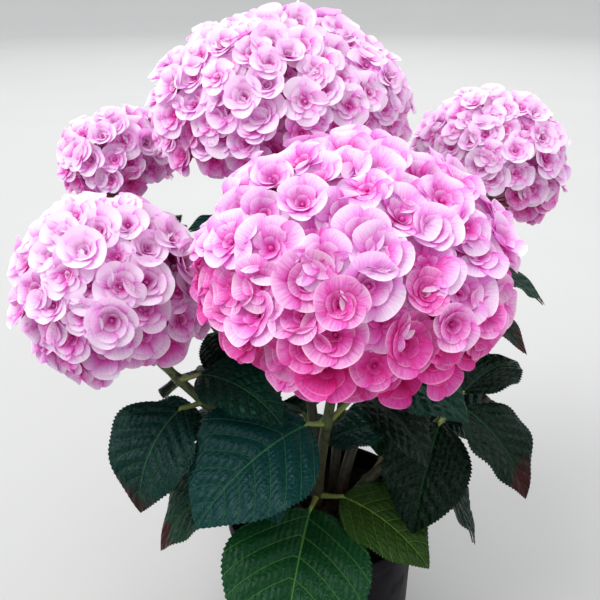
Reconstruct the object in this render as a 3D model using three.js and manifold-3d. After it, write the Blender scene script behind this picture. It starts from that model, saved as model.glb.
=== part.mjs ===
// A mophead hydrangea in a round pot: five flowering canes, two leafy shoots, large paired leaves
// and five domed heads of double florets. Millimetres, +Z up, with the origin at the middle of the
// pot's underside, +X to the right and +Y away from whoever faces the plant.
import * as THREE from "three";
import { mergeVertices } from "three/addons/utils/BufferGeometryUtils.js";
import Module from "manifold-3d";

const wasm = await Module();
wasm.setup();

// Pot: straight sides, a thick band as its rim, filled nearly to the brim
const POT_HEIGHT = 128;
const POT_FOOT_RADIUS = 71.5;
const POT_SHOULDER_RADIUS = 73;
const POT_WALL = 2.2;
const POT_FLOOR = 3;
const RIM_RADIUS = 76;
const RIM_DEPTH = 14;
const POT_SIDES = 40;
const SOIL_TOP = 112;
const SEAT_GAP = 0.3;

// Canes and shoots: where each leaves the soil, where it ends, how thick it is
const CANE_FOOT_RADIUS = 4.6;
const CANE_TOP_RADIUS = 2.9;
const FOOT_FLARE = 0.35;
const NODE_SWELL = 0.9;
const NODE_SPREAD = 0.02;
const BARE_BELOW_NODE = 0.05;
const SHOOT_END = 0.98;
const CANE_SIDES = 7;
const CORE_SEAT = 0.72;

// Leaves: broad ovals with a pointed tip, folded along the midrib, on thick short stalks
const BLADE_THICKNESS = 1.7;
const BLADE_FOLD = 0.30;
const BLADE_CURL = 0.18;
const BLADE_DROOP = 52;
const BLADE_SHARE = 0.84;
const BLADE_STATIONS = [0.07, 0.2, 0.4, 0.62, 0.84];
const STALK_ROOT_RADIUS = 2.1;
const STALK_TIP_RADIUS = 1.5;
const STALK_ROOT_DEPTH = 1.3;
const STALK_SIDES = 4;
const STALK_INTO_BLADE = 0.13;

// Florets: four-lobed cups standing on a core, thinning out under the head
const FLORET_RADIUS = 18;
const FLORET_DEPTH = 5;
const FLORET_ROOT = 25;
const LOBE_NOTCH = 0.80;
const CORE_INSET = 15;
const CORE_UNDERSIDE = 0.78;
const HEAD_SKIRT = 124;
const GOLDEN_ANGLE = Math.PI * (3 - Math.sqrt(5));

// Space that a leaf keeps from the other parts of the plant
const CLEAR_LEAF = 8.5;
const CLEAR_LIMB = 7.5;
const CLEAR_STALK = 6;
const CLEAR_HEAD = 2;
const CLEAR_RIM = 3.5;
const LEADING_EASE = 0.55;

// Each flowering cane: foot on the soil, centre and lean of its head, the head's half width and
// half height, how many florets, and leaf pairs as [height on the cane, bearing, length, pitch]
const FLOWERING = {
  front: {
    foot: [-6, -10], head: [12, -70, 361], lean: [0.06, -0.30], across: 92, rise: 66,
    florets: 42, seed: 3, pairs: [[0.80, 150, 76, 8], [0.92, 60, 60, 12]],
  },
  left: {
    foot: [-19, -3], head: [-140, -21, 321], lean: [-0.36, -0.22], across: 62, rise: 65,
    florets: 28, seed: 11,
    pairs: [[0.50, 190, 88, -6], [0.80, 150, 76, 4], [0.90, 240, 62, 8]],
  },
  back: {
    foot: [-2, 14], head: [-33, 100, 415], lean: [-0.05, 0.12], across: 99, rise: 71,
    florets: 44, seed: 23,
    pairs: [
      [0.20, 85, 104, -6], [0.38, 10, 98, -4], [0.54, 110, 98, 0],
      [0.68, 25, 94, 4], [0.80, 110, 88, 4], [0.90, 20, 78, 6],
    ],
  },
  left_back: {
    foot: [-15, 13], head: [-174, 152, 361], lean: [-0.45, 0.30], across: 49, rise: 48,
    florets: 17, seed: 31,
    pairs: [
      [0.20, 160, 104, -8], [0.36, 90, 100, -4], [0.50, 175, 98, -2],
      [0.64, 90, 94, 2], [0.78, 190, 86, 2], [0.90, 100, 66, 4],
    ],
  },
  right_back: {
    foot: [13, 10], head: [147, 165, 359], lean: [0.40, 0.30], across: 67, rise: 64,
    florets: 28, seed: 47,
    pairs: [
      [0.20, 30, 104, -8], [0.36, 100, 98, -4], [0.50, 20, 98, -2],
      [0.64, 90, 94, 2], [0.78, 0, 88, 2], [0.90, 80, 68, 4],
    ],
  },
};

// Leafy shoots that carry no flowers this season
const LEAFY = {
  right: {
    foot: [15, -8], tip: [97, -4, 226], seed: 59,
    pairs: [[0.30, 60, 90, -4], [0.48, 340, 84, -8], [0.70, 40, 80, 0]],
  },
  rear: {
    foot: [10, 27], tip: [24, 96, 220], seed: 83,
    pairs: [[0.35, 60, 100, -10], [0.65, 130, 96, -6], [0.95, 85, 90, 0]],
  },
};

// The leaves that show best from the front, each set by hand:
// [limb, height on it, bearing, length, width share, pitch, droop, roll, stalk, sideways bend]
const LEADING_LEAVES = [
  ["front", 0.13, 257, 122, 0.90, -8, 54, 0, 24, 0],
  ["front", 0.13, 326, 84, 0.82, 4, 60, 4, 24, 0.05],
  ["front", 0.51, 215, 105, 0.94, -2, 50, -15, 17, 0],
  ["front", 0.51, 37, 70, 0.80, 14, 60, 0, 33, 0],
  ["front", 0.70, 322, 66, 0.80, -6, 60, 0, 24, 0],
  ["left", 0.66, 230, 80, 0.94, -14, 68, -10, 22, 0.12],
  ["left", 0.66, 58, 86, 0.84, 24, 50, 0, 18, 0],
  ["left", 0.22, 198, 94, 0.84, -4, 60, 0, 22, 0.10],
  ["right", 0.96, 316, 78, 0.82, -12, 54, 0, 10, -0.06],
  ["right", 0.90, 242, 84, 0.80, -34, 44, 0, 14, 0],
  ["right", 0.96, 38, 66, 0.86, 26, 44, 0, 12, 0],
  ["back", 0.80, 212, 74, 0.80, 34, 40, 0, 20, 0],
];

// Turns and tilts tried for a leaf, nearest to its own bearing first
const TURNS = [0, 16, -16, 32, -32, 48, -48, 64, -64];
const TILTS = [0, -14, 12];
const TURNED_SHRINK = 0.2;

// A small seeded generator, so that the plant grows the same way each time
function makeDice(seed) {
  let state = seed >>> 0;
  const draw = () => {
    state = (Math.imul(state, 1664525) + 1013904223) >>> 0;
    return state / 4294967296;
  };
  const spread = (amount) => (2 * draw() - 1) * amount;
  return { draw, spread };
}

const radians = THREE.MathUtils.degToRad;
const vec = (x, y, z) => new THREE.Vector3(x, y, z);
const UP = vec(0, 0, 1);

// A closed body from rings of equal count, each counter-clockwise about the way the body runs,
// with one point that closes its start and one that closes its end
function closedSkin(rings, startPoint, endPoint) {
  const count = rings[0].length;
  const positions = [startPoint, ...rings.flat(), endPoint].flatMap((p) => [p.x, p.y, p.z]);
  const last = rings.length - 1;
  const endIndex = 1 + rings.length * count;
  const at = (ring, k) => 1 + ring * count + (k % count);
  const index = [];
  for (let k = 0; k < count; k += 1) {
    index.push(0, at(0, k + 1), at(0, k));
    index.push(endIndex, at(last, k), at(last, k + 1));
    for (let ring = 0; ring < last; ring += 1) {
      index.push(at(ring, k), at(ring, k + 1), at(ring + 1, k + 1));
      index.push(at(ring, k), at(ring + 1, k + 1), at(ring + 1, k));
    }
  }
  const geometry = new THREE.BufferGeometry();
  geometry.setAttribute("position", new THREE.Float32BufferAttribute(positions, 3));
  geometry.setIndex(index);
  return geometry;
}

function toSolid(source) {
  let geometry = source.clone();
  geometry.deleteAttribute("normal");
  geometry.deleteAttribute("uv");
  geometry = mergeVertices(geometry, 1e-4);
  return new wasm.Manifold(new wasm.Mesh({
    numProp: 3,
    vertProperties: Float32Array.from(geometry.attributes.position.array),
    triVerts: Uint32Array.from(geometry.index.array),
  }));
}

// The outermost shell of a joined body: pockets that the joining sealed are filled
function outerShell(mesh) {
  const parent = Array.from({ length: mesh.vertProperties.length / 3 }, (_, i) => i);
  const find = (i) => {
    let root = i;
    while (parent[root] !== root) root = parent[root];
    parent[i] = root;
    return root;
  };
  for (let t = 0; t < mesh.triVerts.length; t += 3) {
    const [a, b, c] = mesh.triVerts.slice(t, t + 3);
    parent[find(a)] = find(b);
    parent[find(b)] = find(c);
  }
  const boxes = new Map();
  for (let i = 0; i < parent.length; i += 1) {
    const root = find(i);
    if (!boxes.has(root)) boxes.set(root, new THREE.Box3());
    boxes.get(root).expandByPoint(vec(...mesh.vertProperties.slice(3 * i, 3 * i + 3)));
  }
  const size = (box) => box.getSize(new THREE.Vector3()).length();
  const [kept] = [...boxes].sort((a, b) => size(b[1]) - size(a[1]))[0];
  const renumbered = new Map();
  const positions = [];
  const index = [];
  for (const vertex of mesh.triVerts) {
    if (find(vertex) !== kept) continue;
    if (!renumbered.has(vertex)) {
      renumbered.set(vertex, positions.length / 3);
      positions.push(...mesh.vertProperties.slice(3 * vertex, 3 * vertex + 3));
    }
    index.push(renumbered.get(vertex));
  }
  const geometry = new THREE.BufferGeometry();
  geometry.setAttribute("position", new THREE.Float32BufferAttribute(positions, 3));
  geometry.setIndex(index);
  return geometry;
}

function fuse(geometries) {
  const [first, ...rest] = geometries.map(toSolid);
  const joined = rest.reduce((sum, piece) => sum.add(piece), first);
  return outerShell(joined.getMesh());
}

// A limb's centre line: it leaves the soil nearly upright, swings out and comes in under its head
function limbCurve(limb) {
  const foot = vec(limb.foot[0], limb.foot[1], SOIL_TOP);
  const reach = limb.head ? headFrame(limb).seat : vec(...limb.tip);
  const run = reach.clone().sub(foot);
  const distance = run.length();
  const arrive = limb.head
    ? headFrame(limb).axis
    : run.clone().divideScalar(distance).addScaledVector(UP, 0.6).normalize();
  const outward = vec(run.x, run.y, 0).multiplyScalar(0.35 / distance);
  const depart = UP.clone().add(outward).normalize();
  return new THREE.CubicBezierCurve3(
    foot,
    foot.clone().addScaledVector(depart, 0.42 * distance),
    reach.clone().addScaledVector(arrive, -0.36 * distance),
    reach,
  );
}

// A head's axis, the two directions across it, and the point under it where its cane ends
function headFrame(limb) {
  const axis = vec(limb.lean[0], limb.lean[1], 1).normalize();
  const right = vec(0, 1, 0).cross(axis).normalize();
  const forward = axis.clone().cross(right);
  const centre = vec(...limb.head);
  const seat = centre.clone().addScaledVector(axis, -limb.rise * CORE_SEAT);
  return { axis, right, forward, centre, seat };
}

// A ring of points about a centre, in the plane square to an axis
function ringAbout(centre, axis, radius, sides) {
  const first = Math.abs(axis.x) < 0.9 ? vec(1, 0, 0) : vec(0, 1, 0);
  const across = first.addScaledVector(axis, -first.dot(axis)).normalize();
  const along = axis.clone().cross(across);
  return Array.from({ length: sides }, (_, k) => {
    const turn = (2 * Math.PI * k) / sides;
    return centre.clone()
      .addScaledVector(across, radius * Math.cos(turn))
      .addScaledVector(along, radius * Math.sin(turn));
  });
}

// Thickness along a limb: an even taper, a flare at the soil and a swelling at every leaf node
function limbRadius(limb, t) {
  const taper = CANE_FOOT_RADIUS + (CANE_TOP_RADIUS - CANE_FOOT_RADIUS) * t;
  const flare = 1 + FOOT_FLARE * Math.exp(-t / 0.02);
  const swell = limb.nodes.reduce((most, node) => {
    const away = (t - node) / NODE_SPREAD;
    return Math.max(most, Math.exp(-away * away));
  }, 0);
  return taper * flare + NODE_SWELL * swell;
}

function limbTube(limb, from, to, steps, standing) {
  const rings = [];
  for (let k = 0; k <= steps; k += 1) {
    const t = from + ((to - from) * k) / steps;
    const axis = standing && k === 0 ? UP : limb.curve.getTangent(t).normalize();
    rings.push(ringAbout(limb.curve.getPoint(t), axis, limbRadius(limb, t), CANE_SIDES));
  }
  return closedSkin(rings, limb.curve.getPoint(from), limb.curve.getPoint(to));
}

// The share of its curve that a length in millimetres takes near t
const shareOf = (limb, t, length) => {
  const step = 0.01;
  const chord = limb.curve.getPoint(t + step).distanceTo(limb.curve.getPoint(t));
  return (length * step) / chord;
};

// Leaves

// Half width of a blade along its length, as a share of its greatest half width
const bladeHalf = (s) => Math.sin(Math.PI * s ** 0.75) ** 0.9;

function makeLeaf(node, bearing, length, share, pitch, droop, roll, stalk, bend) {
  const heading = vec(Math.cos(bearing), Math.sin(bearing), 0);
  const lift = radians(20) + 0.5 * pitch;
  const base = node.clone()
    .addScaledVector(heading, stalk * Math.cos(lift))
    .addScaledVector(UP, stalk * Math.sin(lift));
  return { node, base, heading, length, width: length * share, pitch, droop, roll, bend };
}

// Where the midrib is at s of its length, with the directions along, across and out of the blade.
// It sets out at the leaf's pitch and bends down evenly, on a circle's arc.
function midrib(leaf, s) {
  const angle = leaf.pitch - leaf.droop * s;
  const arc = leaf.length / leaf.droop;
  const run = arc * (Math.sin(leaf.pitch) - Math.sin(angle));
  const rise = arc * (Math.cos(angle) - Math.cos(leaf.pitch));
  const sideways = vec(-leaf.heading.y, leaf.heading.x, 0);
  const point = leaf.base.clone()
    .addScaledVector(leaf.heading, run)
    .addScaledVector(UP, rise)
    .addScaledVector(sideways, leaf.bend * leaf.length * s * s);
  const along = leaf.heading.clone().multiplyScalar(Math.cos(angle)).addScaledVector(UP, Math.sin(angle));
  const flat = leaf.heading.clone().multiplyScalar(-Math.sin(angle)).addScaledVector(UP, Math.cos(angle));
  const side = flat.clone().cross(along);
  const turned = (angleAcross) => side.clone().multiplyScalar(Math.cos(angleAcross))
    .addScaledVector(flat, Math.sin(angleAcross));
  const across = turned(leaf.roll);
  const out = turned(leaf.roll + Math.PI / 2);
  return { point, along, across, out };
}

// A point of the blade at s along it and v across it, from -1 at one edge to 1 at the other
function bladePoint(leaf, s, v) {
  const rib = midrib(leaf, s);
  const half = (leaf.width / 2) * bladeHalf(s);
  const lift = Math.abs(v) * half * Math.sin(BLADE_FOLD) - BLADE_CURL * v * v * half;
  return rib.point
    .addScaledVector(rib.across, v * half * Math.cos(BLADE_FOLD))
    .addScaledVector(rib.out, lift);
}

function bladeSolid(leaf) {
  const rings = BLADE_STATIONS.map((s) => {
    const rib = midrib(leaf, s);
    const thin = BLADE_THICKNESS / 2;
    return [
      bladePoint(leaf, s, 1),
      rib.point.clone().addScaledVector(rib.out, thin),
      bladePoint(leaf, s, -1),
      rib.point.clone().addScaledVector(rib.out, -thin),
    ];
  });
  return closedSkin(rings, leaf.base, midrib(leaf, 1).point);
}

// The stalk runs from inside its limb to the blade, and on through the blade as its midrib
function stalkSolid(leaf) {
  const end = midrib(leaf, STALK_INTO_BLADE).point;
  const start = leaf.node.clone().addScaledVector(leaf.heading, -STALK_ROOT_DEPTH);
  const path = [start, leaf.base, end];
  const rings = path.map((centre, k) => {
    const before = path[Math.max(k - 1, 0)];
    const after = path[Math.min(k + 1, path.length - 1)];
    const axis = after.clone().sub(before).normalize();
    const radius = STALK_ROOT_RADIUS + ((STALK_TIP_RADIUS - STALK_ROOT_RADIUS) * k) / (path.length - 1);
    return ringAbout(centre, axis, radius, STALK_SIDES);
  });
  return closedSkin(rings, start, end);
}

// Points spread over a leaf and its stalk, to measure how close it comes to other things
function spanOf(from, to, count) {
  return Array.from({ length: count }, (_, k) => from + ((to - from) * k) / (count - 1));
}

const PROBE_ALONG = spanOf(0.06, 1, 9);
const PROBE_ACROSS = spanOf(-0.95, 0.95, 7);
function probeLeaf(leaf) {
  leaf.blade = PROBE_ALONG.flatMap((s) => PROBE_ACROSS.map((v) => bladePoint(leaf, s, v)));
  leaf.stalk = spanOf(0.3, 1, 4).map((t) => leaf.node.clone().lerp(leaf.base, t));
}

function nearest(first, second) {
  let best = Infinity;
  for (const a of first) {
    for (const b of second) best = Math.min(best, a.distanceToSquared(b));
  }
  return Math.sqrt(best);
}

// Whether a point lies in a head's outline, an ellipsoid flattened along its axis
function insideHead(point, limb, extra) {
  const { axis, centre } = limb.frame;
  const offset = point.clone().sub(centre);
  const up = offset.dot(axis);
  const out = offset.addScaledVector(axis, -up).length();
  return (up / (limb.rise + extra)) ** 2 + (out / (limb.across + extra)) ** 2 < 1;
}

const nearRim = (point) => point.z < POT_HEIGHT + CLEAR_RIM
  && Math.hypot(point.x, point.y) < RIM_RADIUS + CLEAR_RIM;

// Whether a leaf keeps clear of the pot, the heads, the limbs and the leaves already grown
function fits(leaf, own, limbs, grown, ease) {
  probeLeaf(leaf);
  if (leaf.blade.some(nearRim)) return false;
  for (const limb of limbs) {
    if (limb.head && leaf.blade.some((point) => insideHead(point, limb, CLEAR_HEAD))) return false;
    if (nearest(leaf.blade, limb.line) < CLEAR_LIMB * ease) return false;
    if (limb !== own && nearest(leaf.stalk, limb.line) < CLEAR_STALK * ease) return false;
  }
  return grown.every((other) => nearest(leaf.blade, other.blade) >= CLEAR_LEAF * ease
    && nearest(leaf.blade, other.stalk) >= CLEAR_STALK * ease
    && nearest(leaf.stalk, other.blade) >= CLEAR_STALK * ease);
}

// The leaves set by hand go on first, then every limb's own pairs, each leaf turning a little
// until it has room; one that finds none is left off
function growLeaves(limbs) {
  const grown = [];
  for (const row of LEADING_LEAVES) {
    const [name, height, bearing, length, share, pitch, droop, roll, stalk, bend] = row;
    const limb = limbs.find((each) => each.name === name);
    const leaf = makeLeaf(limb.curve.getPoint(height), radians(bearing), length, share,
      radians(pitch), radians(droop), radians(roll), stalk, bend);
    if (!fits(leaf, limb, limbs, grown, LEADING_EASE)) continue;
    leaf.limb = name;
    grown.push(leaf);
  }
  for (const limb of limbs) {
    const dice = makeDice(limb.seed);
    for (const [height, bearing, length, pitch] of limb.pairs) {
      for (const facing of [0, 180]) {
        growPairedLeaf(limb, limbs, grown, dice, height, bearing + facing, length, pitch);
      }
    }
  }
  return grown;
}

function growPairedLeaf(limb, limbs, grown, dice, height, bearing, length, pitch) {
  const node = limb.curve.getPoint(height);
  const heading = bearing + dice.spread(7);
  const ownLength = length + dice.spread(5);
  const ownPitch = pitch + dice.spread(4);
  const roll = radians(dice.spread(14));
  const droop = radians(BLADE_DROOP + dice.spread(9));
  const bend = dice.spread(0.06);
  for (const turn of TURNS) {
    for (const tilt of TILTS) {
      const size = ownLength * (1 - (TURNED_SHRINK * Math.abs(turn)) / 64);
      const leaf = makeLeaf(node, radians(heading + turn), size, BLADE_SHARE,
        radians(ownPitch + tilt), droop, roll, 14 + 0.1 * size, bend);
      if (!fits(leaf, limb, limbs, grown, 1)) continue;
      leaf.limb = limb.name;
      grown.push(leaf);
      return;
    }
  }
}

// Flower heads

// A floret: a cup with four round lobes, on a root that runs down into the core
function floretSolid(place, axis, radius, spin) {
  const rim = ringAbout(place, axis, radius, 8).map((point, k) => {
    const reach = k % 2 === 0 ? 1 : LOBE_NOTCH;
    return point.sub(place).applyAxisAngle(axis, spin).multiplyScalar(reach).add(place);
  });
  const throat = place.clone().addScaledVector(axis, -FLORET_DEPTH);
  const root = place.clone().addScaledVector(axis, -FLORET_ROOT);
  return closedSkin([rim], root, throat);
}

// Florets stand over the dome on a golden-angle spiral, from the crown down to the skirt
function headSolids(limb) {
  const { axis, right, forward, centre, seat } = limb.frame;
  const coreAcross = limb.across - CORE_INSET;
  const coreRise = limb.rise - CORE_INSET;
  const core = new THREE.IcosahedronGeometry(1, 1);
  const { position } = core.attributes;
  for (let k = 0; k < position.count; k += 1) {
    if (position.getZ(k) < 0) position.setZ(k, position.getZ(k) * CORE_UNDERSIDE);
  }
  const basis = new THREE.Matrix4().makeBasis(
    right.clone().multiplyScalar(coreAcross),
    forward.clone().multiplyScalar(coreAcross),
    axis.clone().multiplyScalar(coreRise),
  );
  core.applyMatrix4(basis.setPosition(centre));
  const below = seat.clone().addScaledVector(axis, SEAT_GAP);
  const stalkRings = [0, 0.5, 1].map((t) => {
    const along = below.clone().lerp(centre, t);
    return ringAbout(along, axis, CANE_TOP_RADIUS, CANE_SIDES);
  });
  const pieces = [core, closedSkin(stalkRings, below, centre)];
  const dice = makeDice(limb.seed + 100);
  const skirt = Math.cos(radians(HEAD_SKIRT));
  for (let k = 0; k < limb.florets; k += 1) {
    const height = 1 - ((1 - skirt) * (k + 0.5)) / limb.florets;
    const turn = k * GOLDEN_ANGLE + dice.spread(0.12);
    const level = Math.sqrt(1 - height * height);
    const sideways = right.clone().multiplyScalar(Math.cos(turn)).addScaledVector(forward, Math.sin(turn));
    const place = centre.clone()
      .addScaledVector(sideways, limb.across * level)
      .addScaledVector(axis, limb.rise * height);
    const facing = sideways.clone().multiplyScalar(level / limb.across)
      .addScaledVector(axis, height / limb.rise)
      .normalize();
    const radius = FLORET_RADIUS * (1 + dice.spread(0.10));
    const sunk = (radius * radius) / (2 * limb.rise) + 1.5 + dice.spread(1.2);
    place.addScaledVector(facing, -sunk);
    pieces.push(floretSolid(place, facing, radius, dice.draw() * Math.PI));
  }
  return pieces;
}

// Pot and growing medium

function potGeometry() {
  const shoulder = POT_HEIGHT - RIM_DEPTH;
  const profile = [
    [0, 0],
    [POT_FOOT_RADIUS, 0],
    [POT_SHOULDER_RADIUS, shoulder],
    [RIM_RADIUS, shoulder],
    [RIM_RADIUS, POT_HEIGHT],
    [POT_SHOULDER_RADIUS - POT_WALL, POT_HEIGHT],
    [POT_SHOULDER_RADIUS - POT_WALL, shoulder],
    [POT_FOOT_RADIUS - POT_WALL, POT_FLOOR],
    [0, POT_FLOOR],
  ];
  return new THREE.LatheGeometry(profile.map(([r, z]) => new THREE.Vector2(r, z)), POT_SIDES)
    .rotateX(Math.PI / 2);
}

function mediumGeometry() {
  const shoulder = POT_HEIGHT - RIM_DEPTH;
  const inner = (z) => {
    const share = (z - POT_FLOOR) / (shoulder - POT_FLOOR);
    return POT_FOOT_RADIUS - POT_WALL + (POT_SHOULDER_RADIUS - POT_FOOT_RADIUS) * share - SEAT_GAP - 0.2;
  };
  const bottom = POT_FLOOR + SEAT_GAP;
  const profile = [[0, bottom], [inner(bottom), bottom], [inner(SOIL_TOP), SOIL_TOP], [0, SOIL_TOP]];
  return new THREE.LatheGeometry(profile.map(([r, z]) => new THREE.Vector2(r, z)), POT_SIDES)
    .rotateX(Math.PI / 2);
}

// Materials, one for each sub-part that wears it
const finish = (color, roughness) => new THREE.MeshStandardMaterial({ color, roughness, metalness: 0 });
const potFinish = () => finish(0x1d1626, 0.42);
const mediumFinish = () => finish(0x2b2019, 0.95);
const caneFinish = () => finish(0x5d6140, 0.6);
const leafFinish = () => finish(0x16302a, 0.35);
const bloomFinish = () => finish(0xee86c4, 0.6);

const hydrangea = new THREE.Group();
const addMesh = (name, geometry, material) => {
  const mesh = new THREE.Mesh(geometry, material);
  mesh.name = name;
  hydrangea.add(mesh);
};

addMesh("pot", potGeometry(), potFinish());
addMesh("growing_medium", mediumGeometry(), mediumFinish());

const limbs = Object.entries({ ...FLOWERING, ...LEAFY }).map(([name, limb]) => ({ name, ...limb }));
for (const limb of limbs) {
  limb.curve = limbCurve(limb);
  limb.line = spanOf(0, 1, 40).map((t) => limb.curve.getPoint(t));
  if (limb.head) limb.frame = headFrame(limb);
}

const leaves = growLeaves(limbs);
for (const limb of limbs) {
  const own = leaves.filter((leaf) => leaf.limb === limb.name);
  const heights = LEADING_LEAVES.filter((row) => row[0] === limb.name).map((row) => row[1]);
  limb.nodes = [...heights, ...limb.pairs.map((pair) => pair[0])];
  const lowest = Math.min(...limb.nodes) - BARE_BELOW_NODE;
  const shootStart = lowest + shareOf(limb, lowest, SEAT_GAP);
  const shootEnd = limb.head ? 1 : SHOOT_END;
  const foot = limb.curve.getPoint(0);
  limb.curve.v0 = vec(foot.x, foot.y, SOIL_TOP + SEAT_GAP);
  addMesh(`cane_${limb.name}`, limbTube(limb, 0, lowest, 4, true), caneFinish());
  const shoot = limbTube(limb, shootStart, shootEnd, 12, false);
  const foliage = fuse([shoot, ...own.flatMap((leaf) => [stalkSolid(leaf), bladeSolid(leaf)])]);
  addMesh(`foliage_${limb.name}`, foliage, leafFinish());
  if (limb.head) addMesh(`flower_head_${limb.name}`, fuse(headSolids(limb)), bloomFinish());
}

export default hydrangea;
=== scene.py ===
# %% [markdown]
# # A mophead hydrangea in its pot
# The plant is a young shrub grown for the patio: five canes that each carry a domed head of double
# florets, two shoots with leaves alone, and a plain dark pot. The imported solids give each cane, each
# mass of leaves and each head its place. This lesson grows the fine plant again by the same rule, in
# the same places, down to single sepals and the teeth along a leaf.
# Lengths are in millimetres until a mesh is made, and +Z is up.

# %% Load the frame and the tools
import math

import bpy
import numpy as np
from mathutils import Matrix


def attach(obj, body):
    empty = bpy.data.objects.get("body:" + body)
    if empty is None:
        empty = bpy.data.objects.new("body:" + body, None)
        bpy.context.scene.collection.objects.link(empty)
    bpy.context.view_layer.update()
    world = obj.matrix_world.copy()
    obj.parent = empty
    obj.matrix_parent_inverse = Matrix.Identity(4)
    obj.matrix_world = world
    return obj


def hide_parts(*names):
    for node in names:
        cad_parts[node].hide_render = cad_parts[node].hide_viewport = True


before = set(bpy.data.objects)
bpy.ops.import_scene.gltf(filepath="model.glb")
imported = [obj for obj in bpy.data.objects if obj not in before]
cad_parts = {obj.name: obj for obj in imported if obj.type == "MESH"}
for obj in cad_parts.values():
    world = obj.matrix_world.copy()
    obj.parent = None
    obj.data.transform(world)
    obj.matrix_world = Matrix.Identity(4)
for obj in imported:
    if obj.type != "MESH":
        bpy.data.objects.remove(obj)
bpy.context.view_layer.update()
MM = 0.001

# %% [markdown]
# ## Surfaces as grids of points
# A leaf, a sepal, a cane and a pot are all sheets that two numbers describe: how far along and how
# far across or around. Such a sheet could be modelled by hand or by subdividing a box, but a formula
# gives every point of it at once, and a thousand sepals cost no more code than one. So each surface
# here is a numpy array of points, and a Skin gathers many of them into one mesh.

# %% Grids, skins and meshes
UP = np.array([0.0, 0.0, 1.0])
UV_NAMES = {"flat_map": "Flat", "chart_map": "OFBake"}


def grid_faces(rows, columns, closed=False):
    """Quads of a rows by columns grid. Their normal is the column direction crossed with the row
    direction, so it points out of a tube whose columns run counter-clockwise about its rows."""
    row = np.arange(rows - 1)[:, None]
    column = np.arange(columns if closed else columns - 1)[None, :]
    after = (column + 1) % columns
    here, there = row * columns, (row + 1) * columns
    corners = [here + column, here + after, there + after, there + column]
    return np.stack(corners, -1).reshape(-1, 4)


class Skin:
    """Points in millimetres, faces, and the values that colour them, for one piece."""

    def __init__(self):
        self.points, self.faces, self.values, self.size = [], [], {}, 0

    def add(self, grid, closed=False, **values):
        """Adds one surface, as rows x columns x 3, or many alike, with the count in front. A closed
        one joins round, and its first and last rows are capped. Values are spread over the grid
        from whatever shape they have."""
        grid = grid.reshape(-1, *grid.shape[-3:])
        count, rows, columns = grid.shape[:3]
        faces = [grid_faces(rows, columns, closed)]
        if closed:
            faces.append(np.arange(columns)[None, ::-1])
            faces.append(np.arange(columns)[None, :] + (rows - 1) * columns)
        first = self.size + np.arange(count) * rows * columns
        self.faces += [(face[None] + first[:, None, None]).reshape(-1, face.shape[1]) for face in faces]
        self.points.append(grid.reshape(-1, 3))
        for name, value in values.items():
            width = 2 if name.endswith("map") else 1
            shape = (count, rows, columns, width) if width > 1 else (count, rows, columns)
            self.values.setdefault(name, []).append(np.broadcast_to(value, shape).reshape(-1, width))
        self.size += count * rows * columns

    def piece(self, name, material, slot, *replaced):
        """Makes the mesh object, which rides on the plant's one body and stands for CAD nodes."""
        points = np.concatenate(self.points) * MM
        corners = np.concatenate([face.ravel() for face in self.faces])
        totals = np.concatenate([np.full(len(face), face.shape[1]) for face in self.faces])
        mesh = bpy.data.meshes.new(name)
        mesh.vertices.add(len(points))
        mesh.vertices.foreach_set("co", points.ravel())
        mesh.loops.add(len(corners))
        mesh.loops.foreach_set("vertex_index", corners.astype(np.int32))
        mesh.polygons.add(len(totals))
        mesh.polygons.foreach_set("loop_start", (np.cumsum(totals) - totals).astype(np.int32))
        mesh.polygons.foreach_set("use_smooth", np.ones(len(totals), bool))
        for key, parts in self.values.items():
            value = np.concatenate(parts).astype(np.float32)
            if key.endswith("map"):
                layer = mesh.uv_layers.new(name=UV_NAMES[key], do_init=False)
                layer.uv.foreach_set("vector", value[corners].ravel())
            else:
                mesh.attributes.new(key, "FLOAT", "POINT").data.foreach_set("value", value.ravel())
        mesh.update(calc_edges=True)
        mesh.validate()
        mesh.materials.append(material)
        thing = bpy.data.objects.new(name, mesh)
        bpy.context.scene.collection.objects.link(thing)
        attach(thing, "root")
        if replaced:
            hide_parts(*replaced)
        print(f"{name}: {(totals - 2).sum()} triangles")


def unit(vectors):
    """Vectors brought to length one."""
    vectors = np.asarray(vectors, float)
    return vectors / np.linalg.norm(vectors, axis=-1, keepdims=True)


def tube(path, radii, sides, up=UP):
    """A profile carried along a path: rings of the given radii, square to the path, whose first
    point lies to the side of the path as seen with up on top. A ring may have its own radii."""
    along = unit(np.gradient(path, axis=0))
    side = unit(np.cross(np.broadcast_to(up, path.shape), along))
    top = np.cross(along, side)
    turn = np.arange(sides) * 2 * math.pi / sides
    radii = np.broadcast_to(np.asarray(radii, float).reshape(len(path), -1), (len(path), sides))
    across = np.cos(turn)[None, :, None] * side[:, None] + np.sin(turn)[None, :, None] * top[:, None]
    return path[:, None] + radii[..., None] * across


# %% [markdown]
# ## How the plant grows
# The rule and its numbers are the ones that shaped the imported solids, so that every leaf and head
# falls where its solid is. A cane is one cubic curve. A leaf leaves its node on a short stalk, its
# midrib bends down evenly, and it turns aside, a little at a time, until it has room.

# %% Sizes of the pot, the canes and the leaves
POT_HEIGHT = 128
POT_FOOT_RADIUS = 71.5
POT_SHOULDER_RADIUS = 73
POT_WALL = 2.2
RIM_RADIUS = 76
RIM_DEPTH = 14
SOIL_TOP = 112
CANE_FOOT_RADIUS = 4.6
CANE_TOP_RADIUS = 2.9
FOOT_FLARE = 0.35
NODE_SWELL = 0.9
NODE_SPREAD = 0.02
SHOOT_END = 0.98
HEAD_SEAT = 0.72
BLADE_FOLD = 0.30
BLADE_CURL = 0.18
BLADE_DROOP = 52
BLADE_SHARE = 0.84
HEAD_SKIRT = math.radians(124)
GOLDEN_ANGLE = math.pi * (3 - math.sqrt(5))

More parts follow.
